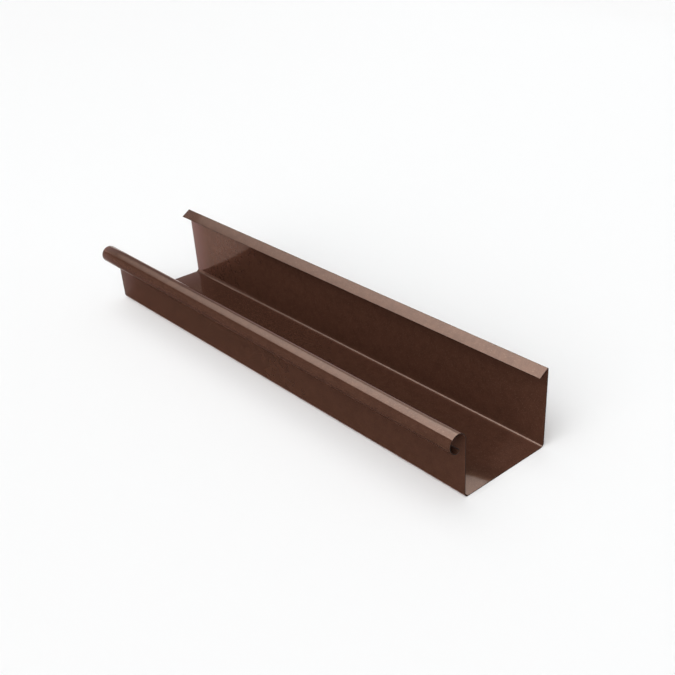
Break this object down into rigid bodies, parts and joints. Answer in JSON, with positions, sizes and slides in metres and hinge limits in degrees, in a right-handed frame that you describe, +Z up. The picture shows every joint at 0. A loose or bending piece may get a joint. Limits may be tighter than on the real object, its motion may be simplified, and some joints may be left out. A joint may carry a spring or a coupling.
{
  "type": "gutter section",
  "caption": "Length of rectangular eaves gutter in brown coated steel: open channel, taller back wall with an inward flange, front wall with a round outward bead.",
  "frame": {"origin": "middle of the length and of the whole width over the bead, on the underside of the floor", "axes": "+X along the gutter, +Y towards the back wall that faces the building, +Z up"},
  "size_m": [0.64, 0.1412, 0.095],
  "materials": {
    "coated_steel": "chocolate-brown polyester coating on galvanised steel, semi-gloss with a fine grain"
  },
  "bodies": {
    "root": {"gutter_section": "coated_steel"}
  },
  "joints": []
}
